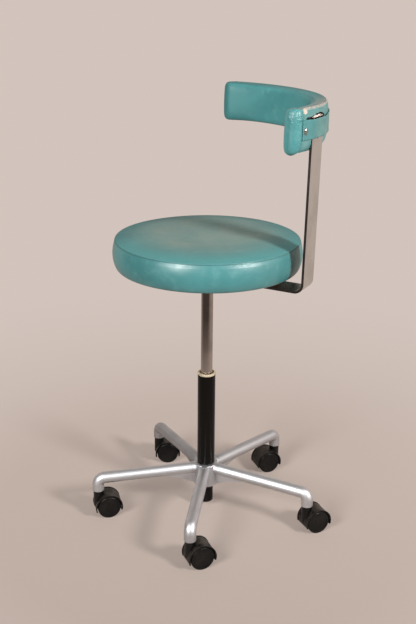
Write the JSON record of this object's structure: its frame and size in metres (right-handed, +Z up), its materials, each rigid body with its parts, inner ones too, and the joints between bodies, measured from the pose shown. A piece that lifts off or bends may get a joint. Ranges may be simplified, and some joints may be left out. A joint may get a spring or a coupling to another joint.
{
  "type": "laboratory stool",
  "caption": "Swivel stool on a height-adjusting column, with a round padded seat, a curved arm-like rest on a flat steel bar and a star base on twin-wheel casters.",
  "frame": {"origin": "on the floor, under the column's axis", "axes": "+Z up along the column, +Y towards the middle of the curved rest as pictured"},
  "size_m": [0.4953, 0.4867, 0.9065],
  "materials": {
    "teal_upholstery": "satin",
    "teal_leatherette": "satin",
    "cast_aluminium": "satin",
    "black_tube": "satin",
    "bright_steel": "polished",
    "satin_steel": "satin",
    "cream_nylon": "satin",
    "black_plastic": "satin",
    "black_tyre": "matte",
    "plywood": "matte",
    "rubber": "matte"
  },
  "bodies": {
    "base": {"hub": "cast_aluminium", "arm_1": "cast_aluminium", "arm_2": "cast_aluminium", "arm_3": "cast_aluminium", "arm_4": "cast_aluminium", "arm_5": "cast_aluminium", "column_tube": "black_tube", "guide_bush": "cream_nylon", "thrust_washer_lower": "satin_steel"},
    "spindle": {"piston_rod": "bright_steel", "piston": "satin_steel", "retaining_clip": "satin_steel", "ball_cage": "satin_steel", "thrust_washer_upper": "satin_steel", "bump_stop": "rubber"},
    "seat": {"gas_cylinder": "bright_steel", "rod_gland": "satin_steel", "seat_plate": "black_tube", "plate_screws": "satin_steel", "lever_pivot": "satin_steel", "seat_board": "plywood", "seat_hem": "teal_leatherette", "seat_cushion": "teal_upholstery", "back_bar": "satin_steel", "bar_bolts": "satin_steel", "bar_nuts": "satin_steel", "rest_screws": "satin_steel", "rest_core": "plywood", "rest_pad": "teal_upholstery", "cover_strip": "teal_leatherette", "strip_tacks": "satin_steel"},
    "lever": {"release_lever": "satin_steel", "lever_grip": "black_plastic"},
    "valve_pin": {"release_pin": "bright_steel"},
    "caster_1": {"caster_stem_1": "bright_steel", "caster_hood_1": "black_plastic", "caster_axle_1": "satin_steel"},
    "left_wheel_1": {"wheel_left_1": "black_tyre"},
    "right_wheel_1": {"wheel_right_1": "black_tyre"},
    "caster_2": {"caster_stem_2": "bright_steel", "caster_hood_2": "black_plastic", "caster_axle_2": "satin_steel"},
    "left_wheel_2": {"wheel_left_2": "black_tyre"},
    "right_wheel_2": {"wheel_right_2": "black_tyre"},
    "caster_3": {"caster_stem_3": "bright_steel", "caster_hood_3": "black_plastic", "caster_axle_3": "satin_steel"},
    "left_wheel_3": {"wheel_left_3": "black_tyre"},
    "right_wheel_3": {"wheel_right_3": "black_tyre"},
    "caster_4": {"caster_stem_4": "bright_steel", "caster_hood_4": "black_plastic", "caster_axle_4": "satin_steel"},
    "left_wheel_4": {"wheel_left_4": "black_tyre"},
    "right_wheel_4": {"wheel_right_4": "black_tyre"},
    "caster_5": {"caster_stem_5": "bright_steel", "caster_hood_5": "black_plastic", "caster_axle_5": "satin_steel"},
    "left_wheel_5": {"wheel_left_5": "black_tyre"},
    "right_wheel_5": {"wheel_right_5": "black_tyre"}
  },
  "joints": [
    {"name": "seat_swivel", "type": "hinge", "parent": "base", "child": "spindle", "pos_m": [0, 0, 0], "axis": [0, 0, 1], "continuous": true},
    {"name": "seat_lift", "type": "slide", "parent": "spindle", "child": "seat", "axis": [0, 0, 1], "range_m": [-0.16, 0]},
    {"name": "lever_lift", "type": "hinge", "parent": "seat", "child": "lever", "pos_m": [0.02659, 0.0139, 0.558], "axis": [0.4633, -0.8862, 0], "range_deg": [0, 4.5], "stiffness_Nm_per_rad": 2, "springref_deg": -2.86},
    {"name": "valve_press", "type": "slide", "parent": "seat", "child": "valve_pin", "axis": [0, 0, 1], "range_m": [-0.0025, 0]},
    {"name": "caster_swivel_1", "type": "hinge", "parent": "base", "child": "caster_1", "pos_m": [0.16014, 0.17661, 0.062], "axis": [0, 0, 1], "continuous": true},
    {"name": "left_roll_1", "type": "hinge", "parent": "caster_1", "child": "left_wheel_1", "pos_m": [0.15395, 0.19593, 0.025], "axis": [-0.99, -0.1409, 0], "continuous": true},
    {"name": "right_roll_1", "type": "hinge", "parent": "caster_1", "child": "right_wheel_1", "pos_m": [0.16069, 0.19689, 0.025], "axis": [-0.99, -0.1409, 0], "continuous": true},
    {"name": "caster_swivel_2", "type": "hinge", "parent": "base", "child": "caster_2", "pos_m": [-0.11848, 0.20688, 0.062], "axis": [0, 0, 1], "continuous": true},
    {"name": "left_roll_2", "type": "hinge", "parent": "caster_2", "child": "left_wheel_2", "pos_m": [-0.114, 0.18709, 0.025], "axis": [0.9985, 0.0541, 0], "continuous": true},
    {"name": "right_roll_2", "type": "hinge", "parent": "caster_2", "child": "right_wheel_2", "pos_m": [-0.12079, 0.18672, 0.025], "axis": [0.9985, 0.0541, 0], "continuous": true},
    {"name": "caster_swivel_3", "type": "hinge", "parent": "base", "child": "caster_3", "pos_m": [-0.23336, -0.04875, 0.062], "axis": [0, 0, 1], "continuous": true},
    {"name": "left_roll_3", "type": "hinge", "parent": "caster_3", "child": "left_wheel_3", "pos_m": [-0.23256, -0.02848, 0.025], "axis": [-0.9785, 0.2062, 0], "continuous": true},
    {"name": "right_roll_3", "type": "hinge", "parent": "caster_3", "child": "right_wheel_3", "pos_m": [-0.22591, -0.02988, 0.025], "axis": [-0.9785, 0.2062, 0], "continuous": true},
    {"name": "caster_swivel_4", "type": "hinge", "parent": "base", "child": "caster_4", "pos_m": [-0.02575, -0.23701, 0.062], "axis": [0, 0, 1], "continuous": true},
    {"name": "left_roll_4", "type": "hinge", "parent": "caster_4", "child": "left_wheel_4", "pos_m": [-0.02883, -0.21696, 0.025], "axis": [-0.9999, 0.0157, 0], "continuous": true},
    {"name": "right_roll_4", "type": "hinge", "parent": "caster_4", "child": "right_wheel_4", "pos_m": [-0.02203, -0.21706, 0.025], "axis": [-0.9999, 0.0157, 0], "continuous": true},
    {"name": "caster_swivel_5", "type": "hinge", "parent": "base", "child": "caster_5", "pos_m": [0.21745, -0.09773, 0.062], "axis": [0, 0, 1], "continuous": true},
    {"name": "left_roll_5", "type": "hinge", "parent": "caster_5", "child": "left_wheel_5", "pos_m": [0.21194, -0.0782, 0.025], "axis": [-0.9943, -0.1063, 0], "continuous": true},
    {"name": "right_roll_5", "type": "hinge", "parent": "caster_5", "child": "right_wheel_5", "pos_m": [0.21871, -0.07748, 0.025], "axis": [-0.9943, -0.1063, 0], "continuous": true}
  ],
  "couplings": [
    {"joint": "valve_press", "follows": "lever_lift", "m_per_rad": -0.03}
  ]
}
